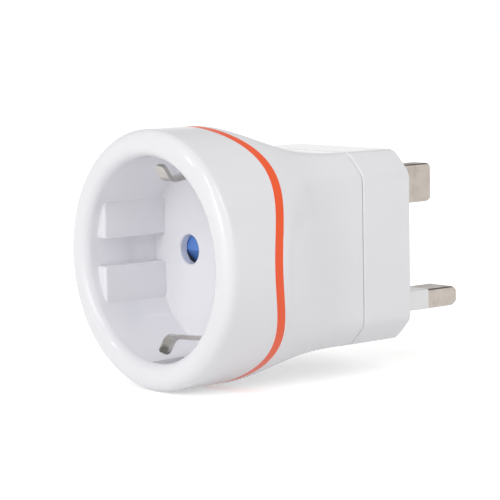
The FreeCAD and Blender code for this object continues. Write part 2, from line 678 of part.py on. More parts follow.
INSIDE = "(1 - rear_wall)"
WELL_HALF_X = f"({DRAWER_HALF} + drawer_gap)"
WELL_HALF_Z = "(drawer_half_height + drawer_gap)"
base_parts = [base_shell, box(
    "well_stock", about("0", f"{WELL_HALF_X} + well_wall"), (BUSBAR_BACK, INSIDE),
    about("fuse_height", f"{WELL_HALF_Z} + well_wall"),
)]
base_tools = [
    box("well_hole", about("0", WELL_HALF_X), ("-well_depth", "1"), about("fuse_height", WELL_HALF_Z)),
]
PINS = [
    ("line", PIN_X, "0", "flat_pin_width / 2", "flat_pin_height / 2"),
    ("neutral", f"-{PIN_X}", "0", "flat_pin_width / 2", "flat_pin_height / 2"),
    ("earth", "0", "earth_rise", "earth_pin_width / 2", "earth_pin_height / 2"),
]
for name, x, z, half_x, half_z in PINS:
    around_x, around_z = f"{half_x} + flange_margin", f"{half_z} + flange_margin"
    base_parts.append(box(
        f"{name}_pocket_stock", about(x, f"{around_x} + pocket_wall"), (FLANGE, INSIDE),
        about(z, f"{around_z} + pocket_wall"),
    ))
    base_tools.append(box(
        f"{name}_pocket", about(x, f"{around_x} + pin_hole_gap"), (f"{FLANGE} - 1", "-rear_wall"),
        about(z, f"{around_z} + pin_hole_gap"),
    ))
    base_tools.append(box(
        f"{name}_pin_hole", about(x, f"{half_x} + pin_hole_gap"), (FLANGE, "1"),
        about(z, f"{half_z} + pin_hole_gap"),
    ))
for name, side in SIDES:
    x, z, head_way = f"{side} * screw_place", up("screw_rise"), "screw_head_radius + screw_gap"
    base_parts.append(rod(f"base_boss_{name}", "base_boss_radius", ("-boss_meet", INSIDE), x, z))
    base_tools.append(rod(f"screw_way_{name}", "screw_radius + screw_gap", ("-boss_meet - 1", "0"), x, z))
    base_tools.append(rod(f"counterbore_{name}", head_way, ("-screw_seat", "1"), x, z))
base_tools.append(box(
    "line_lead_slot", about(PIN_X, "lead_half_width + slot_gap"), ("-well_depth", f"{CLIP_WEB} + slot_gap"),
    (f"fuse_height - {WELL_HALF_Z} - well_wall - 1", "fuse_height - drawer_half_height"),
))
base_tools.append(box(
    "line_tab_slot", about(f"-{HOLE_X}", "tab_half_width + slot_gap"),
    (f"{BUSBAR_BACK} - 1", "1 - well_depth"), about("axis_height", "strip_thickness / 2 + slot_gap"),
))
RIVET_END = f"({TOWER_END} + rivet_grip + slot_gap)"
base_tools.append(rod("rivet_hole", "rivet_radius + slot_gap", (f"{BUSBAR_BACK} - 1", RIVET_END), HOLE_X))
plug_base = cut("plug_base", fuse("base_joined", base_parts), base_tools)


def pin(label, middle, halves, core, tail_half, reach, tail_end):
    """Make a plug pin with a chamfered end, a flange inside the rear wall and a tail."""
    (x, z), (half_x, half_z), (core_x, core_z) = middle, halves, core
    blade = box(f"{label}_blade", about(x, half_x), ("-rear_wall", reach), about(z, half_z))
    end = value(reach)
    at_end = lambda edge: lies_at(edge, "Y", end)
    shaped = dressed(f"{label}_shaped", blade, "Chamfer", "pin_chamfer", at_end)
    dress(shaped, "Fillet", "pin_edge_round", picked(shaped.Tip.Shape, runs_along_y))
    parts = [shaped]
    if core != halves:
        sleeve_span = ("-rear_wall", "sleeve_length")
        beyond_x, beyond_z = about(x, f"{half_x} + 1"), about(z, f"{half_z} + 1")
        around = box(f"{label}_around", beyond_x, ("-rear_wall - 1", "sleeve_length"), beyond_z)
        neck = box(f"{label}_neck", about(x, core_x), sleeve_span, about(z, core_z))
        parts = [cut(f"{label}_end", shaped, [around]), neck]
    flange_x, flange_z = about(x, f"{half_x} + flange_margin"), about(z, f"{half_z} + flange_margin")
    flange = box(f"{label}_flange", flange_x, (FLANGE, "-rear_wall"), flange_z)
    parts.append(dressed(f"{label}_flange_soft", flange, "Fillet", "flange_round", runs_along_y))
    parts.append(box(f"{label}_tail", about(x, tail_half[0]), (tail_end, FLANGE), about(z, tail_half[1])))
    return fuse(label, parts)


FLAT_HALVES = ("flat_pin_width / 2", "flat_pin_height / 2")
FLAT_CORE = ("flat_pin_width / 2 - sleeve_wall", "flat_pin_height / 2 - sleeve_wall")
FLAT_TAIL = ("tail_half_width", "tail_half_height")
EARTH_HALVES = ("earth_pin_width / 2", "earth_pin_height / 2")
EARTH_TAIL = ("earth_pin_width / 2", "earth_tail_half")
line_solid = pin(
    "line_pin_solid", (PIN_X, "0"), FLAT_HALVES, FLAT_CORE, FLAT_TAIL, "flat_pin_length", CLIP_WEB
)
neutral_solid = pin(
    "neutral_pin_solid", (f"-{PIN_X}", "0"), FLAT_HALVES, FLAT_CORE, FLAT_TAIL, "flat_pin_length",
    BUSBAR_BACK,
)
earth_pin = pin(
    "earth_pin", ("0", "earth_rise"), EARTH_HALVES, EARTH_HALVES, EARTH_TAIL, "earth_pin_length",
    f"{FLANGE} - earth_tail_length",
)


def sleeve(label, x):
    """Make the insulating sleeve that lies flush round a flat pin."""
    (half_x, half_z), (core_x, core_z) = FLAT_HALVES, FLAT_CORE
    stock = box(f"{label}_stock", about(x, half_x), ("-rear_wall", "sleeve_length"), about("0", half_z))
    soft = dressed(f"{label}_soft", stock, "Fillet", "pin_edge_round", runs_along_y)
    beyond = ("-rear_wall - 1", "sleeve_length + 1")
    return cut(label, soft, [box(f"{label}_core", about(x, core_x), beyond, about("0", core_z))])


line_pin_sleeve = sleeve("line_pin_sleeve", PIN_X)
neutral_pin_sleeve = sleeve("neutral_pin_sleeve", f"-{PIN_X}")

# Contact carrier: a plate on the stand-offs with a tower for each socket contact
PEG_SIDE = "(spring_radius + spring_wire / 2 + peg_radius + wall_gap)"
carrier_parts = [
    box("carrier_plate_block", about("0", "carrier_half_width"), (CARRIER, CARRIER_BACK),
        about("axis_height", "carrier_half_height")),
    rod("carrier_peg", "peg_radius", (f"{CARRIER} - peg_length", CARRIER_BACK), "-peg_reach", up(PEG_SIDE)),
]
carrier_tools = []
tower_span = (f"{CARRIER_BACK} - carrier_plate / 2", TOWER_END)
tower_z = about("axis_height", "tower_half")
through_plate = (f"{CARRIER} - 1", f"{CARRIER_BACK} + 1")
for name, side in SIDES:
    x = f"{side} * {HOLE_X}"
    carrier_parts.append(box(f"tower_{name}", about(x, "tower_half"), tower_span, tower_z))
    carrier_tools.append(rod(f"tower_bore_{name}", "tower_bore", (CARRIER_BACK, f"{TOWER_END} + 1"), x))
    carrier_tools.append(rod(f"carrier_hole_{name}", "hole_radius", through_plate, x))
contact_carrier = cut("contact_carrier", fuse("carrier_solid", carrier_parts), carrier_tools)

# Socket contacts, each a slit tube with a tail plate, and the steel rings that close them
CONTACT_OUTER = "(contact_bore + contact_wall)"
MOUTH = f"({CARRIER_BACK} + contact_setback)"
SLITS = (f"{MOUTH} - 1", f"{TOWER_END} - contact_root")
BAND_FRONT = f"({MOUTH} + band_place)"


def socket_contact(label, x, more_tools):
    """Make a split tube for a round pin, closed by a tail plate."""
    wide, narrow = f"{CONTACT_OUTER} + 1", "contact_slit / 2"
    tube = rod(f"{label}_tube", CONTACT_OUTER, (MOUTH, TOWER_END), x)
    plate = box(f"{label}_plate", about(x, "contact_plate_half"), (TOWER_END, PLATE_BACK),
                about("axis_height", "contact_plate_half"))
    tools = [
        rod(f"{label}_bore", "contact_bore", (f"{MOUTH} - 1", TOWER_END), x),
        box(f"{label}_slit_across", about(x, wide), SLITS, about("axis_height", narrow)),
        box(f"{label}_slit_up", about(x, narrow), SLITS, about("axis_height", wide)),
    ]
    return cut(label, fuse(f"{label}_solid", [tube, plate]), tools + more_tools)


contact_rivet_hole = rod(
    "contact_rivet_hole", "rivet_radius", (f"{TOWER_END} - 1", f"{PLATE_BACK} + 1"), HOLE_X
)
line_contact = socket_contact("line_contact", f"-{HOLE_X}", [])
neutral_contact = socket_contact("neutral_contact", HOLE_X, [contact_rivet_hole])
bands = []
for name, side in SIDES:
    x, band_span = f"{side} * {HOLE_X}", (BAND_FRONT, f"{BAND_FRONT} + band_width")
    outer = rod(f"band_outer_{name}", f"{CONTACT_OUTER} + band_gap + band_wall", band_span, x)
    inner = rod(f"band_inner_{name}", f"{CONTACT_OUTER} + band_gap", (MOUTH, TOWER_END), x)
    bands.append(cut(f"band_{name}", outer, [inner]))
contact_springs = fuse("contact_springs", bands)

# Shutter: a two-armed flap behind the floor that a pair of pins turns out of the way
arm_span = (SHUTTER, WEB_BACK)
shutter_parts = [
    box("shutter_web_block", about("0", HOLE_X), arm_span, about("axis_height", "web_half_height")),
    rod("shutter_hub", "hub_radius", arm_span),
    rod("shutter_peg", "peg_radius", (SHUTTER, f"{WEB_BACK} + peg_length"), PEG_SIDE, up("-peg_reach")),
]
shutter_tools = [rod("shutter_bore", "post_radius + post_gap", (f"{SHUTTER} - 1", f"{WEB_BACK} + 1"))]
for name, side in SIDES:
    pad_x = f"{side} * {HOLE_X}"
    shutter_parts.append(rod(f"pad_{name}", "pad_radius", (SHUTTER, f"{SHUTTER} + shutter_pad"), pad_x))
    ramp = [
        (f"{SHUTTER} - 1", up(f"{side} * ramp_start")),
        (SHUTTER, up(f"{side} * ramp_start")),
        (f"{SHUTTER} + ramp_depth", up(f"{side} * pad_radius")),
        (f"{SHUTTER} + ramp_depth", up(f"{side} * (pad_radius + 1)")),
        (f"{SHUTTER} - 1", up(f"{side} * (pad_radius + 1)")),
    ]
    ramp_x = span(f"{side} * ({HOLE_X} - pad_radius)", f"{side} * ({HOLE_X} + pad_radius + 1)")
    shutter_tools.append(prism(f"ramp_{name}", "YZ_Plane", ramp, ramp_x))
shutter = cut("shutter", fuse("shutter_solid", shutter_parts), shutter_tools)

# Shutter spring: a torsion coil round the post with two straight legs
COIL_STEPS = 16
coil_radius, coil_pitch, leg = value("spring_radius"), value("spring_pitch"), value("spring_leg")
coil_start, coil_height = value(f"{WEB_BACK} + (spring_wire + wall_gap) / 2"), value("axis_height")
leg_shares = (1, 0.67, 0.33)
coil_points = [FreeCAD.Vector(coil_radius, coil_start, coil_height - leg * share) for share in leg_shares]
for step in range(int(value("spring_turns") * COIL_STEPS) + 1):
    turn = 2 * math.pi * step / COIL_STEPS
    y = coil_start + coil_pitch * step / COIL_STEPS
    x, z = coil_radius * math.cos(turn), coil_height + coil_radius * math.sin(turn)
    coil_points.append(FreeCAD.Vector(x, y, z))
coil_end = coil_points[-1]
coil_points += [coil_end + FreeCAD.Vector(-leg * share, 0, 0) for share in reversed(leg_shares)]
coil_curve = Part.BSplineCurve()
coil_curve.interpolate(coil_points)
wire_section = Part.Wire(Part.makeCircle(value("spring_wire / 2"), coil_points[0], FreeCAD.Vector(0, 0, 1)))
coil_wire = Part.Wire(coil_curve.toShape())
shutter_spring = shape_feature("shutter_spring", coil_wire.makePipeShell([wire_section], True, True))

# Earth: two sprung clips, the strap that joins them and the link to the earth pin
FOOT_Y = f"({BACK} + clip_root_depth)"
clips = []
for name, rise in LEVELS:
    corners = [
        (FOOT_Y, up(f"{rise} * (clip_root - clip_foot)")),
        (FOOT_Y, up(f"{rise} * clip_root")),
        (f"{FRONT} + clip_apex_depth", up(f"{rise} * clip_apex")),
        (f"{FRONT} + clip_tip_depth", up(f"{rise} * clip_tip")),
    ]
    bends = ["clip_foot_bend", "clip_apex_bend"]
    clips.append(bent_strip(f"earth_clip_{name}", corners, bends, "clip_width / 2", "clip_tip_round"))
earth_clip_upper, earth_clip_lower = clips

LEG_END = f"({FOOT_Y} + strip_thickness / 2 + foot_gap)"
STRAP_Y = f"({CARRIER_BACK} + strip_thickness / 2)"
strap_corners = [
    (LEG_END, up("strap_half_height")),
    (STRAP_Y, up("strap_half_height")),
    (STRAP_Y, up("-strap_half_height")),
    (LEG_END, up("-strap_half_height")),
]
earth_strap = bent_strip("earth_strap", strap_corners, ["strap_bend", "strap_bend"], "strap_half_width")
LINK_Z = "(earth_rise + earth_tail_half)"
earth_link = box(
    "earth_link", about("0", "link_half_width"), (f"{STRAP_Y} + strip_thickness / 2", FLANGE),
    (LINK_Z, f"{LINK_Z} + strip_thickness"),
)

# Neutral busbar, from the neutral pin up and across to its contact
BUSBAR = (PLATE_BACK, BUSBAR_BACK)
busbar_parts = [
    box("busbar_foot", (f"-{PIN_X} - busbar_half_width", "busbar_riser + busbar_half_width"), BUSBAR,
        about("0", "busbar_half_width")),
    box("busbar_up", about("busbar_riser", "busbar_half_width"), BUSBAR,
        ("-busbar_half_width", up("busbar_half_width"))),
    box("busbar_head", ("busbar_riser - busbar_half_width", f"{HOLE_X} + busbar_half_width"), BUSBAR,
        about("axis_height", "busbar_half_width")),
]
through_busbar = (f"{PLATE_BACK} - 1", f"{BUSBAR_BACK} + 1")
neutral_busbar = cut("neutral_busbar", fuse("busbar_solid", busbar_parts), [
    rod("busbar_pin_hole", "rivet_radius", through_busbar, f"-{PIN_X}", "0"),
    rod("busbar_contact_hole", "rivet_radius", through_busbar, HOLE_X),
])

# Fuse clips: jaws round the caps, one with a lead to the line pin, one with a tab to the line contact
JAW_INNER = "(fuse_radius + fuse_clip_gap)"
CLIP_END = "(fuse_length / 2 - fuse_clip_inset)"


def fuse_jaws(label, side):
    """Bend a clip round one cap of the fuse."""
    low, high = span(f"{side} * ({CLIP_END} - fuse_clip_width)", f"{side} * {CLIP_END}")
    outside = about("fuse_height", f"{JAW_INNER} + strip_thickness")
    stock = box(f"{label}_stock", (low, high), ("-well_depth", "-fuse_clip_reach"), outside)
    web = value("-well_depth")
    bend = dressed(f"{label}_bend", stock, "Fillet", "fuse_clip_bend", lambda edge: (
        lies_at(edge, "Y", web) and abs(edge.Vertexes[0].X - edge.Vertexes[-1].X) > NEAR
    ))
    jaw_z = about("fuse_height", JAW_INNER)
    gap = box(f"{label}_gap", (f"{low} - 1", f"{high} + 1"), (CLIP_WEB, "0"), jaw_z)
    return cut(label, bend, [gap])


LEAD = ("-well_depth", CLIP_WEB)
lead_z = ("-tail_half_height - strip_thickness / 2", f"fuse_height - {JAW_INNER} + 1")
lead = box("fuse_clip_lead", about(PIN_X, "lead_half_width"), LEAD, lead_z)
lead_hole = rod("lead_hole", "rivet_radius", ("-well_depth - 1", f"{CLIP_WEB} + 1"), PIN_X, "0")
fuse_clip_line = cut(
    "fuse_clip_line", fuse("fuse_clip_line_solid", [fuse_jaws("line_jaws", 1), lead]), [lead_hole]
)
tab = box("fuse_clip_tab", about(f"-{HOLE_X}", "tab_half_width"), (PLATE_BACK, CLIP_WEB),
          about("axis_height", "strip_thickness / 2"))
fuse_clip_load = fuse("fuse_clip_load", [fuse_jaws("load_jaws", -1), tab])

# Fuse drawer: the face in the rear wall, the cradle and the fuse itself
TUBE_OUTER = "(fuse_radius - cap_wall)"
drawer_z = about("fuse_height", "drawer_half_height")
beyond_cradle = about("0", f"{CRADLE_HALF} + 1")
tube_span = about("0", "fuse_length / 2 - cap_wall")
throat_span = ("-cradle_depth - 1", "-fuse_depth")
drawer_solid = fuse("drawer_solid", [
    box("drawer_face_block", about("0", DRAWER_HALF), ("-drawer_face", "0"), drawer_z),
    box("cradle_block", about("0", CRADLE_HALF), ("-cradle_depth", "-drawer_face"), drawer_z),
])
fuse_carrier = cut("fuse_carrier", drawer_solid, [
    cross_rod("cradle_bore", f"{TUBE_OUTER} + cradle_gap", beyond_cradle),
    box("cradle_throat", beyond_cradle, throat_span, about("fuse_height", "throat_half")),
    box("drawer_notch", about("0", "notch_half_width"), ("-notch_depth", "1"),
        ("fuse_height - drawer_half_height - 1", "fuse_height - drawer_half_height + notch_height")),
])
tube_hole = cross_rod("tube_hole", "tube_bore", about("0", "fuse_length"))
fuse_tube = cut("fuse_tube", cross_rod("tube_stock", TUBE_OUTER, tube_span), [tube_hole])
cap_blocks = []
for name, side in SIDES:
    cap_span = span(f"{side} * (fuse_length / 2 - cap_length)", f"{side} * fuse_length / 2")
    cap_blocks.append(cross_rod(f"cap_{name}", "fuse_radius", cap_span))
cap_stock = fuse("cap_stock", cap_blocks)
fuse_caps = cut("fuse_caps", cap_stock, [cross_rod("cap_hollow", TUBE_OUTER, tube_span)])
fuse_element = cross_rod("fuse_element", "element_radius", tube_span)

# Fasteners
RIVETS = [
    ("line", PIN_X, "0", "-well_depth"),
    ("neutral", f"-{PIN_X}", "0", PLATE_BACK),
    ("contact", HOLE_X, "axis_height", TOWER_END),
]
rivet_parts = []
for name, x, z, seat in RIVETS:
    rivet_parts.append(rod(f"rivet_head_{name}", "rivet_head", (f"{seat} - rivet_head_depth", seat), x, z))
    rivet_parts.append(rod(f"rivet_shank_{name}", "rivet_radius", (seat, f"{seat} + rivet_grip"), x, z))
pin_rivets = fuse("pin_rivets", rivet_parts)

screw_parts = []
screw_tools = []
HEAD_REAR = "(screw_head_depth - screw_seat)"
for name, side in SIDES:
    x, z, shank = f"{side} * screw_place", up("screw_rise"), ("-screw_seat - screw_length", "-screw_seat")
    arms = (f"{HEAD_REAR} - recess_arm_depth", f"{HEAD_REAR} + 1")
    reach, half = "recess_arm_reach", "recess_arm_half"
    screw_parts.append(rod(f"screw_head_{name}", "screw_head_radius", ("-screw_seat", HEAD_REAR), x, z))
    screw_parts.append(rod(f"screw_shank_{name}", "screw_radius", shank, x, z))
    screw_tools.append(box(f"recess_across_{name}", about(x, reach), arms, about(z, half)))
    screw_tools.append(box(f"recess_up_{name}", about(x, half), arms, about(z, reach)))
housing_screws = cut("housing_screws", fuse("screw_stock", screw_parts), screw_tools)

# The pins' tails take the shanks of their rivets
line_grip = ("-well_depth", "-well_depth + rivet_grip")
neutral_grip = (PLATE_BACK, f"{PLATE_BACK} + rivet_grip")
line_pin = cut("line_pin", line_solid, [
    rod("line_tail_hole", "rivet_radius", line_grip, PIN_X, "0"),
])
neutral_pin = cut("neutral_pin", neutral_solid, [
    rod("neutral_tail_hole", "rivet_radius", neutral_grip, f"-{PIN_X}", "0"),
])

NODES = {
    "front_housing": front_housing,
    "trim_ring": trim_ring,
    "rear_shell": rear_shell,
    "plug_base": plug_base,
    "earth_pin": earth_pin,
    "line_pin": line_pin,
    "neutral_pin": neutral_pin,
    "line_pin_sleeve": line_pin_sleeve,
    "neutral_pin_sleeve": neutral_pin_sleeve,
    "contact_carrier": contact_carrier,
    "shutter": shutter,
    "shutter_spring": shutter_spring,
    "line_contact": line_contact,
    "neutral_contact": neutral_contact,
    "contact_springs": contact_springs,
    "earth_clip_upper": earth_clip_upper,
    "earth_clip_lower": earth_clip_lower,
    "earth_strap": earth_strap,
    "earth_link": earth_link,
    "neutral_busbar": neutral_busbar,
    "fuse_clip_line": fuse_clip_line,
    "fuse_clip_load": fuse_clip_load,
    "fuse_carrier": fuse_carrier,
    "fuse_tube": fuse_tube,
    "fuse_caps": fuse_caps,
    "fuse_element": fuse_element,
    "pin_rivets": pin_rivets,
    "housing_screws": housing_screws,
}
for label, node in NODES.items():
    node.Label = label

doc.recompute()
for item in doc.Objects:
    if "Invalid" in item.State or "Error" in item.State:
        raise RuntimeError(f"{item.Label} did not recompute: {item.State}")
os.makedirs("parts", exist_ok=True)
for label, node in NODES.items():
    shape = node.Shape
    if shape.isNull() or not shape.isValid() or shape.Volume <= 0:
        raise RuntimeError(f"{label} has no valid solid")
    shape.exportStep(f"parts/{label}.step")
    extent = shape.BoundBox
    print(
        f"{label}: {len(shape.Solids)} solid(s), {shape.Volume:.1f} mm3, "
        f"x {extent.XMin:.2f}..{extent.XMax:.2f}, y {extent.YMin:.2f}..{extent.YMax:.2f}, "
        f"z {extent.ZMin:.2f}..{extent.ZMax:.2f}"
    )
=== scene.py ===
"""A white travel adapter with a round earthed socket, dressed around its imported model.

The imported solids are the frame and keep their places. Each class below stands for one
sub-assembly of the adapter: it gives the solids their finishes and adds the pieces that
carry more detail than a solid does. Lengths are in metres, in the frame of the model:
+Y the way the plug pins point, +Z up, +X the side that the camera sees.
"""

import json
import logging
import math
from dataclasses import dataclass
from enum import Enum
from typing import Any, Callable, Iterable, Iterator, Optional, Union

import bmesh
import bpy
from mathutils import Matrix, Vector

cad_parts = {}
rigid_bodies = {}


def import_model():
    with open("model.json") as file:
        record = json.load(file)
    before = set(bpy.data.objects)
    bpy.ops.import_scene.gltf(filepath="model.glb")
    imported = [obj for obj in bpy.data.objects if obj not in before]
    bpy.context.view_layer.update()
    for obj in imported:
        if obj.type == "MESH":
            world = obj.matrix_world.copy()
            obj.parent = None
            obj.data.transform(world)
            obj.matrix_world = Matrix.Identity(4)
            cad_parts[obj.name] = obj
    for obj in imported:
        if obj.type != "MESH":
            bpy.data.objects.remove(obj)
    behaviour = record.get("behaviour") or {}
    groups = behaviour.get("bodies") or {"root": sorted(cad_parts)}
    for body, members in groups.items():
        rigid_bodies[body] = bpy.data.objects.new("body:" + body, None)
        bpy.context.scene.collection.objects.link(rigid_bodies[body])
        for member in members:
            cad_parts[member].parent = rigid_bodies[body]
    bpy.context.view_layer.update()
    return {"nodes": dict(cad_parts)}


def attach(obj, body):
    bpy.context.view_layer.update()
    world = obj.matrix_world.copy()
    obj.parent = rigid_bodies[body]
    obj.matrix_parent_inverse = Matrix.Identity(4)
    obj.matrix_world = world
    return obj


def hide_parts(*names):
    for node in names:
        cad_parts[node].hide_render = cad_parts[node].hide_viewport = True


log = logging.getLogger("adapter")

Colour = tuple[float, float, float]
Place = tuple[float, float, float]
Span = tuple[float, float]

# The round recess of the socket.
SOCKET_AXIS_Z = 0.0119
RECESS_RADIUS = 0.0198
RECESS_MOUTH_Y = -0.0500
RECESS_FLOOR_Y = -0.0328
RECESS_EDGE = 0.0004
RECESS_MOUTH_FADE = 0.003

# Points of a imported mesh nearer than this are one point.
WELD_DISTANCE = 2e-6
# Edges shorter than this are nothing, and points nearer to a cutting plane lie in it.
TOUCH_DISTANCE = 1e-7
# Edges that turn by more than this are shown sharp.
SHARP_ANGLE = math.radians(32.0)

# Sockets of a Mix node that blends colours, by number, because their names repeat.
MIX_FACTOR = 0
MIX_FIRST = 6
MIX_SECOND = 7
MIX_RESULT = 2


class Signal:
    """A number that varies over a surface: one output socket that takes part in arithmetic."""

    def __init__(self, graph: "Graph", socket: bpy.types.NodeSocket) -> None:
        """Keeps the graph that the socket belongs to."""
        self.graph = graph
        self.socket = socket

    def _math(self, operation: str, *operands: "Operand") -> "Signal":
        """Adds a Math node on the operands, in their order."""
        return self.graph.node("ShaderNodeMath", {"operation": operation}, dict(enumerate(operands)))

    def __add__(self, other: "Operand") -> "Signal":
        """Sum."""
        return self._math("ADD", self, other)

    def __radd__(self, other: "Operand") -> "Signal":
        """Sum, from the right."""
        return self._math("ADD", other, self)

    def __sub__(self, other: "Operand") -> "Signal":
        """Difference."""
        return self._math("SUBTRACT", self, other)

    def __rsub__(self, other: "Operand") -> "Signal":
        """Difference, from the right."""
        return self._math("SUBTRACT", other, self)

    def __mul__(self, other: "Operand") -> "Signal":
        """Product."""
        return self._math("MULTIPLY", self, other)

    def __rmul__(self, other: "Operand") -> "Signal":
        """Product, from the right."""
        return self._math("MULTIPLY", other, self)

    def most(self, other: "Operand") -> "Signal":
        """The larger of the two."""
        return self._math("MAXIMUM", self, other)

    def size(self) -> "Signal":
        """The value without its sign."""
        return self._math("ABSOLUTE", self)

    def ramp(self, low: float, high: float, at_low: float = 0.0, at_high: float = 1.0) -> "Signal":
        """Turns the span from low to high smoothly into another span.

        Args:
            low: Value that becomes at_low.
            high: Value that becomes at_high.
            at_low: Result at and below low.
            at_high: Result at and above high.

        Returns:
            The mapped signal.
        """
        inputs = {"Value": self, "From Min": low, "From Max": high, "To Min": at_low, "To Max": at_high}
        return self.graph.node("ShaderNodeMapRange", {"interpolation_type": "SMOOTHSTEP"}, inputs)


Operand = Union[Signal, float, int]


class Graph:
    """A node tree of a material or of the surroundings."""

    def __init__(self, tree: bpy.types.NodeTree) -> None:
        """Takes a tree and empties it."""
        self.tree = tree
        self.tree.nodes.clear()
        self._coordinates: Optional[Signal] = None

    def node(
        self,
        kind: str,
        settings: Optional[dict[str, Any]] = None,
        inputs: Optional[dict[Any, Any]] = None,
        output: Union[str, int] = 0,
    ) -> Signal:
        """Adds one node.

        Args:
            kind: Blender's type name of the node.
            settings: Properties of the node, set first.
            inputs: Value or signal for each input, by name or number.
            output: Which output the result stands for.

        Returns:
            The signal at that output.
        """
        made = self.tree.nodes.new(kind)
        for key, value in (settings or {}).items():
            setattr(made, key, value)
        for key, value in (inputs or {}).items():
            socket = made.inputs[key]
            if isinstance(value, Signal):
                self.tree.links.new(value.socket, socket)
            else:
                socket.default_value = self._fitting(socket, value)
        return Signal(self, made.outputs[output])

    @staticmethod
    def _fitting(socket: bpy.types.NodeSocket, value: Any) -> Any:
        """A value in the form that the socket takes."""
        if socket.type == "RGBA" and len(value) == 3:
            return (*value, 1.0)
        return value

    @property
    def coordinates(self) -> Signal:
        """The place on the object, in metres, the same for every piece."""
        if self._coordinates is None:
            self._coordinates = self.node("ShaderNodeTexCoord", output="Object")
        return self._coordinates

    def stretched(self, scale: Place) -> Signal:
        """The coordinates, scaled along each axis."""
        inputs = {"Vector": self.coordinates, "Scale": scale}
        return self.node("ShaderNodeMapping", {"vector_type": "POINT"}, inputs)

    def noise(
        self,
        scale: float,
        detail: float = 2.0,
        roughness: float = 0.5,
        vector: Optional[Signal] = None,
    ) -> Signal:
        """Cloudy noise around one half.

        Args:
            scale: Features to the metre.
            detail: Octaves.
            roughness: Weight of the finer octaves.
            vector: Coordinates, the object's own where none are given.

        Returns:
            The noise.
        """
        place = vector or self.coordinates
        inputs = {"Vector": place, "Scale": scale, "Detail": detail, "Roughness": roughness}
        return self.node("ShaderNodeTexNoise", {"noise_dimensions": "3D"}, inputs, "Fac")

    def axis(self, name: str) -> Signal:
        """One coordinate, X, Y or Z, in metres."""
        return self.node("ShaderNodeSeparateXYZ", None, {"Vector": self.coordinates}, name)

    def distance(self, centre: Place, stretch: Place = (1.0, 1.0, 1.0)) -> Signal:
        """Distance from a point, in units that the stretch scales."""
        moved = self.node("ShaderNodeVectorMath", {"operation": "SUBTRACT"}, {0: self.coordinates, 1: centre})
        scaled = self.node("ShaderNodeVectorMath", {"operation": "MULTIPLY"}, {0: moved, 1: stretch})
        return self.node("ShaderNodeVectorMath", {"operation": "LENGTH"}, {0: scaled}, "Value")

    def mixed(self, factor: Operand, first: Union[Signal, Colour], second: Union[Signal, Colour]) -> Signal:
        """Blends two colours.

        Args:
            factor: Nought for the first, one for the second.
            first: Colour at nought.
            second: Colour at one.

        Returns:
            The blended colour.
        """
        inputs = {MIX_FACTOR: factor, MIX_FIRST: first, MIX_SECOND: second}
        return self.node("ShaderNodeMix", {"data_type": "RGBA"}, inputs, MIX_RESULT)

    def bump(self, height: Signal, depth: float) -> Signal:
        """The normal of a relief whose height of one stands for a depth in metres."""
        inputs = {"Height": height, "Distance": depth, "Strength": 1.0}
        return self.node("ShaderNodeBump", None, inputs, "Normal")

    def end_in(self, kind: str, shader: Signal) -> None:
        """Adds an output node and links a shader to it."""
        output = self.tree.nodes.new(kind)
        self.tree.links.new(shader.socket, output.inputs["Surface"])


class MaterialGraph(Graph):
    """The node tree of one material."""

    def __init__(self, name: str) -> None:
        """Makes an empty material of that name."""
        self.material = bpy.data.materials.new(name)
        self.material.use_nodes = True
        super().__init__(self.material.node_tree)

    def surface(self, inputs: dict[str, Any]) -> bpy.types.Material:
        """Ends the tree in a Principled shader with these inputs."""
        return self.finish(self.node("ShaderNodeBsdfPrincipled", None, inputs))

    def finish(self, shader: Signal) -> bpy.types.Material:
        """Links a shader to the output and hands the material over."""
        self.end_in("ShaderNodeOutputMaterial", shader)
        return self.material


@dataclass(frozen=True)
class Spot:
    """A round mark on a surface."""

    centre: Place
    radius: float


def shaded(colour: Colour, share: float) -> Colour:
    """A colour with this share of its brightness."""
    red, green, blue = colour
    return share * red, share * green, share * blue


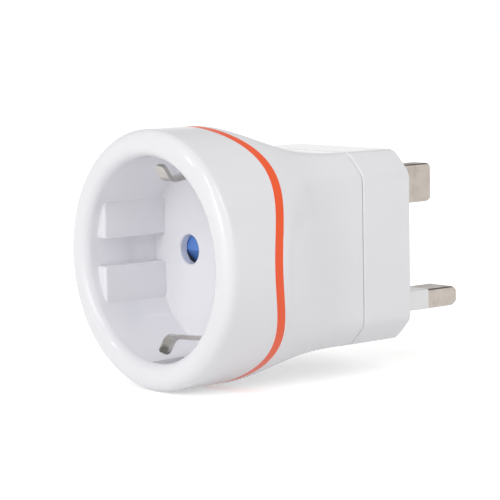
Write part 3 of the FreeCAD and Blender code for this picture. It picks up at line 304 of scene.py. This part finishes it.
@dataclass(frozen=True)
class GlossPlastic:
    """Polished moulded plastic: soft clouds in its colour, an orange-peel skin, faint handling marks, painted
    shade patches and painted light inside the recess.
    """

    name: str
    colour: Colour
    drift: Colour
    roughness: float = 0.075
    roughness_spread: float = 0.04
    ior: float = 1.5
    cloud_scale: float = 55.0
    cloud_span: Span = (0.35, 0.65)
    handling_scale: float = 900.0
    handling_span: Span = (0.45, 0.75)
    peel_scale: float = 420.0
    peel_depth: float = 0.000004
    shade_patches: tuple[Spot, ...] = ()
    shade_patch_stretch: Place = (1.0, 1.0, 0.6)
    shade_patch_scale: float = 400.0
    shade_patch_ragged: float = 0.5
    shade_patch_span: Span = (0.35, 1.5)
    shade_patch_strength: float = 0.35
    shade_patch_share: float = 0.86
    recess_painted_light: Optional[Colour] = None

    def material(self) -> bpy.types.Material:
        """Builds the material."""
        graph = MaterialGraph(self.name)
        clouds = graph.noise(self.cloud_scale, 3.0).ramp(*self.cloud_span)
        colour = graph.mixed(clouds, self.colour, self.drift)
        # Painted light: the recess walls and floor take a lighter colour that brightens them.
        if self.recess_painted_light is not None:
            colour = graph.mixed(self.recess_light_mask(graph), colour, self.recess_painted_light)
        # Painted shade: darker patches where the flare's flats bend into its rounded corners.
        for shade_patch in self.shade_patches:
            colour = graph.mixed(self.painted_shade(graph, shade_patch), colour, shaded(self.colour, self.shade_patch_share))
        handling = graph.noise(self.handling_scale, 4.0, 0.6).ramp(*self.handling_span)
        peel = graph.noise(self.peel_scale, 1.0)
        return graph.surface({
            "Base Color": colour,
            "Roughness": self.roughness + self.roughness_spread * handling,
            "IOR": self.ior,
            "Normal": graph.bump(peel, self.peel_depth),
        })

    def painted_shade(self, graph: Graph, shade_patch: Spot) -> Signal:
        """Strength of a patch of painted shade, which fades out raggedly from its heart."""
        ragged = self.shade_patch_ragged * shade_patch.radius * graph.noise(self.shade_patch_scale, 3.0)
        away = graph.distance(shade_patch.centre, self.shade_patch_stretch) + ragged
        heart, end = (share * shade_patch.radius for share in self.shade_patch_span)
        return away.ramp(heart, end, self.shade_patch_strength, 0.0)

    @staticmethod
    def recess_light_mask(graph: Graph) -> Signal:
        """One inside the recess, where a lighter colour is painted on to stand in for light: painted light.
        """
        reach = graph.distance((0.0, 0.0, SOCKET_AXIS_Z), (1.0, 0.0, 1.0))
        depth = graph.axis("Y")
        within = reach.ramp(RECESS_RADIUS, RECESS_RADIUS + RECESS_EDGE, 1.0, 0.0)
        behind_mouth = depth.ramp(RECESS_MOUTH_Y, RECESS_MOUTH_Y + RECESS_MOUTH_FADE)
        before_floor = depth.ramp(RECESS_FLOOR_Y, RECESS_FLOOR_Y + RECESS_EDGE, 1.0, 0.0)
        return within * behind_mouth * before_floor


@dataclass(frozen=True)
class MattePlastic:
    """Moulded plastic with the fine even grain of an eroded mould."""

    name: str
    colour: Colour
    drift: Colour
    roughness: float = 0.5
    roughness_spread: float = 0.14
    ior: float = 1.48
    cloud_scale: float = 120.0
    cloud_span: Span = (0.35, 0.65)
    wear_scale: float = 1400.0
    wear_span: Span = (0.4, 0.7)
    grain_scale: float = 5200.0
    grain_depth: float = 0.00002

    def material(self) -> bpy.types.Material:
        """Builds the material."""
        graph = MaterialGraph(self.name)
        clouds = graph.noise(self.cloud_scale, 4.0).ramp(*self.cloud_span)
        wear = graph.noise(self.wear_scale, 3.0).ramp(*self.wear_span)
        grain = graph.noise(self.grain_scale, 2.0, 0.6)
        return graph.surface({
            "Base Color": graph.mixed(clouds, self.colour, self.drift),
            "Roughness": self.roughness + self.roughness_spread * wear,
            "IOR": self.ior,
            "Normal": graph.bump(grain, self.grain_depth),
        })


class Lay(Enum):
    """Direction in which a metal was rolled, drawn or brushed, as the stretch of its lines."""

    ALONG_X = (0.05, 1.0, 1.0)
    ALONG_Y = (1.0, 0.05, 1.0)
    ALONG_Z = (1.0, 1.0, 0.05)


@dataclass(frozen=True)
class Metal:
    """Plain or plated metal with the lines of its rolling, a cloudy tarnish, rubbed patches and painted dark
    reflections.
    """

    name: str
    colour: Colour
    tarnish: Colour
    roughness: float = 0.28
    lay: Lay = Lay.ALONG_Y
    least_roughness: float = 0.05
    cloud_scale: float = 420.0
    cloud_span: Span = (0.42, 0.78)
    cloud_roughness: float = 0.16
    line_scale: float = 6500.0
    line_roughness: float = 0.12
    line_depth: float = 0.000006
    rubbed_from: Optional[float] = None
    rubbed_fade: float = 0.008
    rubbed_scale: float = 800.0
    rubbed_roughness: float = 0.12
    dark_reflection_heights: tuple[float, ...] = ()
    dark_reflection_line: Span = (0.00009, 0.00017)
    dark_reflection_spots: tuple[Spot, ...] = ()
    dark_reflection_fade: Span = (0.7, 1.3)
    dark_reflection_share: float = 0.42

    def material(self) -> bpy.types.Material:
        """Builds the material."""
        graph = MaterialGraph(self.name)
        clouds = graph.noise(self.cloud_scale, 4.0, 0.6).ramp(*self.cloud_span)
        lines = graph.noise(self.line_scale, 3.0, 0.65, graph.stretched(self.lay.value))
        roughness = self.roughness + self.cloud_roughness * clouds + self.line_roughness * (lines - 0.5)
        if self.rubbed_from is not None:
            rubbed = graph.axis("Y").ramp(self.rubbed_from, self.rubbed_from + self.rubbed_fade)
            worn = rubbed * graph.noise(self.rubbed_scale, 3.0)
            roughness = roughness + self.rubbed_roughness * worn
        return graph.surface({
            "Base Color": self.with_dark_reflections(graph, graph.mixed(clouds, self.colour, self.tarnish)),
            "Metallic": 1.0,
            "Roughness": roughness.most(self.least_roughness),
            "Normal": graph.bump(lines, self.line_depth),
        })

    def with_dark_reflections(self, graph: Graph, colour: Signal) -> Signal:
        """The colour with the painted dark reflections, in lines and spots, that this metal has."""
        dark = shaded(self.colour, self.dark_reflection_share)
        # Painted dark reflection: a thin dark line at each of these heights, along the edges.
        for height in self.dark_reflection_heights:
            away = (graph.axis("Z") - height).size()
            colour = graph.mixed(away.ramp(*self.dark_reflection_line, 1.0, 0.0), colour, dark)
        # Painted dark reflection: a dark round spot at each of these places.
        for spot in self.dark_reflection_spots:
            full, gone = (share * spot.radius for share in self.dark_reflection_fade)
            colour = graph.mixed(graph.distance(spot.centre).ramp(full, gone, 1.0, 0.0), colour, dark)
        return colour


@dataclass(frozen=True)
class Ceramic:
    """Fired ceramic: a dull white body with fine specks."""

    name: str
    colour: Colour
    speck: Colour
    speck_scale: float = 3600.0
    speck_span: Span = (0.66, 0.72)
    roughness: float = 0.55
    roughness_spread: float = 0.15
    roughness_scale: float = 700.0
    grain_scale: float = 2500.0
    grain_depth: float = 0.00001

    def material(self) -> bpy.types.Material:
        """Builds the material."""
        graph = MaterialGraph(self.name)
        specks = graph.noise(self.speck_scale, 2.0, 0.5).ramp(*self.speck_span)
        grain = graph.noise(self.grain_scale, 3.0)
        return graph.surface({
            "Base Color": graph.mixed(specks, self.colour, self.speck),
            "Roughness": self.roughness + self.roughness_spread * graph.noise(self.roughness_scale, 3.0),
            "Normal": graph.bump(grain, self.grain_depth),
        })


Finish = Union[GlossPlastic, MattePlastic, Metal, Ceramic]

HOUSING_WHITE = GlossPlastic(
    "white_housing",
    (0.868, 0.865, 0.896),
    (0.856, 0.853, 0.885),
    # Painted shade patches on the rear shell's near side, at the flare's crease.
    shade_patches=(Spot((0.0185, -0.0275, 0.022), 0.003), Spot((0.0188, -0.0285, 0.004), 0.0012)),
    # Painted light: a lighter colour for the inside of the recess.
    recess_painted_light=(0.895, 0.89, 0.93),
)
TRIM_ORANGE = GlossPlastic("orange_trim", (0.97, 0.118, 0.030), (0.96, 0.110, 0.027), roughness=0.3, ior=1.42)
SHUTTER_BLUE = GlossPlastic("blue_shutter", (0.12, 0.28, 0.74), (0.11, 0.265, 0.71), roughness=0.32)
SLEEVE_WHITE = MattePlastic("white_sleeve", (0.945, 0.95, 0.955), (0.93, 0.935, 0.94), roughness=0.4)
CARRIER_NATURAL = MattePlastic("natural_carrier", (0.74, 0.71, 0.62), (0.70, 0.67, 0.58))
PIN_NICKEL = Metal(
    "nickel_pins",
    (0.515, 0.467, 0.423),
    (0.465, 0.418, 0.372),
    0.27,
    Lay.ALONG_Z,
    rubbed_from=0.012,
    # Painted dark reflections along the top edges of the line pins and the earth pin.
    dark_reflection_heights=(0.00181, 0.02604),
)
CLIP_NICKEL = Metal(
    "nickel_clips",
    (0.62, 0.60, 0.565),
    (0.53, 0.505, 0.465),
    0.26,
    Lay.ALONG_Y,
    # Painted dark reflection on the lower clip's tip.
    dark_reflection_spots=(Spot((0.0, -0.0471, -0.0061), 0.0016),),
)
BRASS = Metal("brass_parts", (0.76, 0.53, 0.22), (0.60, 0.39, 0.16), 0.30, Lay.ALONG_Y)
SPRING_STEEL = Metal("spring_steel", (0.50, 0.50, 0.51), (0.40, 0.39, 0.39), 0.32, Lay.ALONG_X)
SCREW_STEEL = Metal("screw_steel", (0.56, 0.57, 0.58), (0.45, 0.45, 0.45), 0.30, Lay.ALONG_Z)
FUSE_CERAMIC = Ceramic("fuse_ceramic", (0.74, 0.72, 0.66), (0.55, 0.53, 0.48))
FUSE_CAPS = Metal("fuse_caps", (0.66, 0.65, 0.62), (0.55, 0.53, 0.49), 0.24, Lay.ALONG_X)
FUSE_WIRE = Metal("fuse_wire", (0.66, 0.66, 0.67), (0.52, 0.52, 0.53), 0.25, Lay.ALONG_X)


class FinishShelf:
    """Hands out each finish's material, made once."""

    def __init__(self) -> None:
        """Starts with none made."""
        self._made: dict[str, bpy.types.Material] = {}

    def of(self, finish: Finish) -> bpy.types.Material:
        """The material of a finish, made when it is first asked for."""
        if finish.name not in self._made:
            self._made[finish.name] = finish.material()
        return self._made[finish.name]


@dataclass
class SubAssembly:
    """A group of nodes of the model and the pieces made for it."""

    nodes: dict[str, bpy.types.Object]
    finishes: FinishShelf

    def dress(self, names: Iterable[str], finish: Finish) -> None:
        """Gives nodes their finish through their own material slots.

        Args:
            names: The nodes.
            finish: The finish that they all take.
        """
        material = self.finishes.of(finish)
        for name in names:
            node = self.nodes[name]
            if not node.material_slots:
                node.data.materials.append(material)
            for slot in node.material_slots:
                slot.material = material

    def smoothed(
        self,
        name: str,
        body: str,
        finish: Finish,
        reshape: Optional[Callable[[bmesh.types.BMesh], None]] = None,
    ) -> None:
        """Stands a smooth-shaded piece in for a node, on the node's own surface.

        Args:
            name: The node.
            body: The body that it rides on.
            finish: Its finish, whose material it takes.
            reshape: Gives the copy its finer form before it is shaded.
        """
        shape = bmesh.new()
        shape.from_mesh(self.nodes[name].data)
        bmesh.ops.remove_doubles(shape, verts=shape.verts, dist=WELD_DISTANCE)
        bmesh.ops.dissolve_degenerate(shape, edges=shape.edges, dist=TOUCH_DISTANCE)
        if reshape is not None:
            reshape(shape)
        for face in shape.faces:
            face.smooth = True
        for edge in shape.edges:
            edge.smooth = len(edge.link_faces) == 2 and edge.calc_face_angle(0.0) < SHARP_ANGLE
        mesh = bpy.data.meshes.new(f"{name}_skin")
        shape.to_mesh(mesh)
        shape.free()
        piece = bpy.data.objects.new(f"{name}_skin", mesh)
        bpy.context.scene.collection.objects.link(piece)
        mesh.materials.append(self.finishes.of(finish))
        weights = piece.modifiers.new("even_normals", "WEIGHTED_NORMAL")
        weights.keep_sharp = True
        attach(piece, body)
        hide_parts(name)


@dataclass
class Housing(SubAssembly):
    """The white body: front housing with the recess, rear shell, plug base and the screws."""

    def build(self) -> None:
        """Dresses the body."""
        for name in ("front_housing", "rear_shell", "plug_base"):
            self.smoothed(name, "adapter", HOUSING_WHITE)
        self.smoothed("trim_ring", "adapter", TRIM_ORANGE)
        self.dress(["housing_screws"], SCREW_STEEL)
        log.info("housing: front, rear shell, plug base, trim ring, screws")


@dataclass
class Shutter(SubAssembly):
    """The blue flap behind the pin holes and its spring."""

    def build(self) -> None:
        """Dresses the flap and the spring."""
        self.smoothed("shutter", "shutter_flap", SHUTTER_BLUE)
        self.dress(["shutter_spring"], SPRING_STEEL)
        log.info("shutter: flap and spring")


@dataclass
class EarthPath(SubAssembly):
    """The two sprung clips in the recess, the strap behind the floor and the link to the earth pin."""

    def build(self) -> None:
        """Dresses the clips, the strap and the link."""
        self.smoothed("earth_clip_upper", "upper_clip", CLIP_NICKEL)
        self.smoothed("earth_clip_lower", "lower_clip", CLIP_NICKEL)
        self.dress(["earth_strap", "earth_link"], BRASS)
        log.info("earth path: clips, strap, link")


@dataclass(frozen=True)
class Nose:
    """The rounded end of a plug pin, as it is coined from the bar."""

    across: float
    height: float
    half_width: float
    half_height: float
    reach: float
    edge_round: float
    side_chamfer: float = 0.00035
    length: float = 0.0022
    steps: int = 10

    def form(self, shape: bmesh.types.BMesh) -> None:
        """Cuts the plain end off a pin's mesh and draws a rounded one out of the cut."""
        cut = bmesh.ops.bisect_plane(
            shape,
            geom=[*shape.verts, *shape.edges, *shape.faces],
            dist=TOUCH_DISTANCE,
            plane_co=(0.0, self.reach - self.length, 0.0),
            plane_no=(0.0, 1.0, 0.0),
            clear_outer=True,
        )
        edges = [item for item in cut["geom_cut"] if isinstance(item, bmesh.types.BMEdge)]
        to_middle = Matrix.Translation((-self.across, 0.0, -self.height))
        width, height = self.half_width, self.half_height
        for place, next_width, next_height in self.sections():
            drawn = bmesh.ops.extrude_edge_only(shape, edges=edges)["geom"]
            points = {item for item in drawn if isinstance(item, bmesh.types.BMVert)}
            edges = [
                item
                for item in drawn
                if isinstance(item, bmesh.types.BMEdge) and points.issuperset(item.verts)
            ]
            narrowing = (next_width / width, 1.0, next_height / height)
            bmesh.ops.scale(shape, verts=list(points), vec=narrowing, space=to_middle)
            for point in points:
                point.co.y = place
            width, height = next_width, next_height
        bmesh.ops.edgeloop_fill(shape, edges=edges)
        bmesh.ops.recalc_face_normals(shape, faces=shape.faces)

    def sections(self) -> Iterator[tuple[float, float, float]]:
        """Place, half width and half height of each section of the nose, from the cut outwards."""
        yield self.reach - self.edge_round, self.half_width, self.half_height
        for step in range(1, self.steps + 1):
            turn = math.radians(90.0) * step / self.steps
            place = self.reach - self.edge_round * (1.0 - math.sin(turn))
            chamfered = max(0.0, place - (self.reach - self.side_chamfer))
            height = self.half_height - self.edge_round * (1.0 - math.cos(turn))
            yield place, self.half_width - chamfered, height


@dataclass
class PlugPins(SubAssembly):
    """The three flat pins with their sleeves and rivets."""

    side_place: float = 0.0111
    flat_half_width: float = 0.003175
    flat_half_height: float = 0.001975
    flat_reach: float = 0.0177
    flat_nose_round: float = 0.0019
    earth_rise: float = 0.0222
    earth_half_width: float = 0.0020
    earth_half_height: float = 0.0040
    earth_reach: float = 0.0227
    earth_nose_round: float = 0.0015

    def build(self) -> None:
        """Dresses the pins and rounds their noses."""
        for name, nose in self.noses().items():
            self.smoothed(name, "adapter", PIN_NICKEL, nose.form)
        for name in ("line_pin_sleeve", "neutral_pin_sleeve"):
            self.smoothed(name, "adapter", SLEEVE_WHITE)
        self.dress(["pin_rivets"], BRASS)
        log.info("plug pins: earth, line, neutral, sleeves, rivets")

    def noses(self) -> dict[str, Nose]:
        """The nose of each pin."""
        flat = (self.flat_half_width, self.flat_half_height, self.flat_reach, self.flat_nose_round)
        earth = (self.earth_half_width, self.earth_half_height, self.earth_reach, self.earth_nose_round)
        return {
            "earth_pin": Nose(0.0, self.earth_rise, *earth),
            "line_pin": Nose(self.side_place, 0.0, *flat),
            "neutral_pin": Nose(-self.side_place, 0.0, *flat),
        }


@dataclass
class SocketContacts(SubAssembly):
    """The carrier, the turned contacts and their springs, and the busbar."""

    def build(self) -> None:
        """Dresses the inside of the socket."""
        self.dress(["contact_carrier"], CARRIER_NATURAL)
        self.dress(["line_contact", "neutral_contact", "neutral_busbar"], BRASS)
        self.dress(["contact_springs"], SPRING_STEEL)
        log.info("socket contacts: carrier, contacts, springs, busbar")


@dataclass
class FuseDrawer(SubAssembly):
    """The fuse in its drawer and the clips that grip it."""

    def build(self) -> None:
        """Dresses the drawer and the fuse."""
        self.smoothed("fuse_carrier", "fuse_drawer", HOUSING_WHITE)
        self.dress(["fuse_tube"], FUSE_CERAMIC)
        self.dress(["fuse_caps"], FUSE_CAPS)
        self.dress(["fuse_element"], FUSE_WIRE)
        self.dress(["fuse_clip_line", "fuse_clip_load"], BRASS)
        log.info("fuse drawer: carrier, fuse, caps, element, clips")


@dataclass(frozen=True)
class Lamp:
    """A soft rectangular lamp that hangs in one direction from the object and points at it."""

    name: str
    azimuth: float
    elevation: float
    distance: float
    size: Span
    radiance: float
    target: Place = (0.0, -0.02, 0.012)

    def hang(self) -> None:
        """Makes the lamp and turns it to its target."""
        turn, rise = math.radians(self.azimuth), math.radians(self.elevation)
        away = Vector((math.cos(rise) * math.cos(turn), math.cos(rise) * math.sin(turn), math.sin(rise)))
        data = bpy.data.lights.new(self.name, "AREA")
        data.shape = "RECTANGLE"
        data.size, data.size_y = self.size
        data.energy = self.radiance * math.pi * self.size[0] * self.size[1]
        lamp = bpy.data.objects.new(self.name, data)
        bpy.context.scene.collection.objects.link(lamp)
        lamp.location = Vector(self.target) + self.distance * away
        lamp.rotation_euler = away.to_track_quat("Z", "Y").to_euler()


@dataclass
class Studio:
    """The pale floor, the white surroundings, the lamps and the camera."""

    floor_height: float = -0.01315
    floor_half: float = 3.0
    floor_paint: Colour = (0.88, 0.88, 0.88)
    floor_lift: Span = (0.48, 0.58)
    floor_lift_reach: Span = (0.08, 0.40)
    white: Colour = (1.0, 1.0, 1.0)
    ambient: float = 0.60
    ambient_colour: Colour = (1.0, 1.0, 0.99)
    ceiling: float = 0.45
    ceiling_span: Span = (0.0, 0.5)
    lamps: tuple[Lamp, ...] = (
        Lamp("tall_front_lamp", -72.0, 34.0, 0.90, (0.09, 0.70), 7.8),
        Lamp("side_lamp", -4.0, 40.0, 0.90, (0.10, 0.75), 4.7),
        Lamp("front_lamp", -80.0, 12.0, 0.90, (0.60, 0.50), 1.1),
        Lamp("far_lamp", -110.0, 40.0, 0.90, (0.10, 0.22), 6.0),
    )
    lens: float = 159.56
    sensor: float = 36.0
    clip: Span = (0.01, 20.0)
    camera_place: Place = (0.33094, -0.30195, 0.06072)
    camera_right: Place = (0.64294, 0.76568, -0.01810)
    camera_up: Place = (-0.07465, 0.08617, 0.99346)

    def build(self) -> None:
        """Sets up everything around the object."""
        self.camera()
        self.floor()
        self.surroundings()
        for lamp in self.lamps:
            lamp.hang()
        bpy.context.scene.view_settings.view_transform = "Standard"
        log.info("studio: camera, floor, surroundings and %d lamps", len(self.lamps))

    def camera(self) -> None:
        """Places the camera that the photograph was taken with."""
        data = bpy.data.cameras.new("photograph_camera")
        data.lens = self.lens
        data.sensor_width = self.sensor
        data.clip_start, data.clip_end = self.clip
        camera = bpy.data.objects.new("photograph_camera", data)
        bpy.context.scene.collection.objects.link(camera)
        right = Vector(self.camera_right).normalized()
        up = Vector(self.camera_up)
        up = (up - right * up.dot(right)).normalized()
        turn = Matrix((right, up, right.cross(up))).transposed().to_4x4()
        camera.matrix_world = Matrix.Translation(self.camera_place) @ turn
        bpy.context.scene.camera = camera

    def floor(self) -> None:
        """Lays the pale floor just under the object, white to the eye where no shadow falls."""
        shape = bmesh.new()
        bmesh.ops.create_grid(shape, x_segments=1, y_segments=1, size=self.floor_half)
        bmesh.ops.translate(shape, verts=shape.verts, vec=(0.0, 0.0, self.floor_height))
        mesh = bpy.data.meshes.new("studio_floor")
        shape.to_mesh(mesh)
        shape.free()
        floor = bpy.data.objects.new("studio_floor", mesh)
        bpy.context.scene.collection.objects.link(floor)
        mesh.materials.append(self.floor_finish())

    def floor_finish(self) -> bpy.types.Material:
        """White paint that is lifted to white for the eye and for mirrors."""
        graph = MaterialGraph("studio_floor")
        paint = graph.node("ShaderNodeBsdfDiffuse", None, {"Color": self.floor_paint})
        lift = graph.distance((0.0, 0.0, self.floor_height)).ramp(*self.floor_lift_reach, *self.floor_lift)
        strength = self.seen_directly(graph) * lift
        glow = graph.node("ShaderNodeEmission", None, {"Color": self.white, "Strength": strength})
        return graph.finish(graph.node("ShaderNodeAddShader", None, {0: paint, 1: glow}))

    @staticmethod
    def seen_directly(graph: Graph) -> Signal:
        """One for rays from the eye, from mirrors and through clear pieces."""
        from_eye, from_mirror, through_glass = (
            graph.node("ShaderNodeLightPath", output=name)
            for name in ("Is Camera Ray", "Is Glossy Ray", "Is Transmission Ray")
        )
        return from_eye.most(from_mirror).most(through_glass)

    def surroundings(self) -> None:
        """White all round to the eye, duller overhead, and an even soft light on the object."""
        world = bpy.data.worlds.new("studio_surroundings")
        bpy.context.scene.world = world
        world.use_nodes = True
        graph = Graph(world.node_tree)
        seen = self.seen_directly(graph)
        direction = graph.node("ShaderNodeTexCoord", output="Generated")
        height = graph.node("ShaderNodeSeparateXYZ", None, {"Vector": direction}, "Z")
        shade = height.ramp(*self.ceiling_span, 1.0, self.ceiling)
        strength = self.ambient + seen * (shade - self.ambient)
        colour = graph.mixed(seen, self.ambient_colour, self.white)
        light = graph.node("ShaderNodeBackground", None, {"Color": colour, "Strength": strength})
        graph.end_in("ShaderNodeOutputWorld", light)


def main() -> None:
    """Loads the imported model, dresses it and sets the studio round it."""
    logging.basicConfig(level=logging.INFO, format="%(name)s: %(message)s")
    for thing in list(bpy.data.objects):
        bpy.data.objects.remove(thing)
    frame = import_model()
    finishes = FinishShelf()
    Studio().build()
    for part in (Housing, Shutter, EarthPath, PlugPins, SocketContacts, FuseDrawer):
        part(frame["nodes"], finishes).build()


if __name__ == "__main__":
    main()
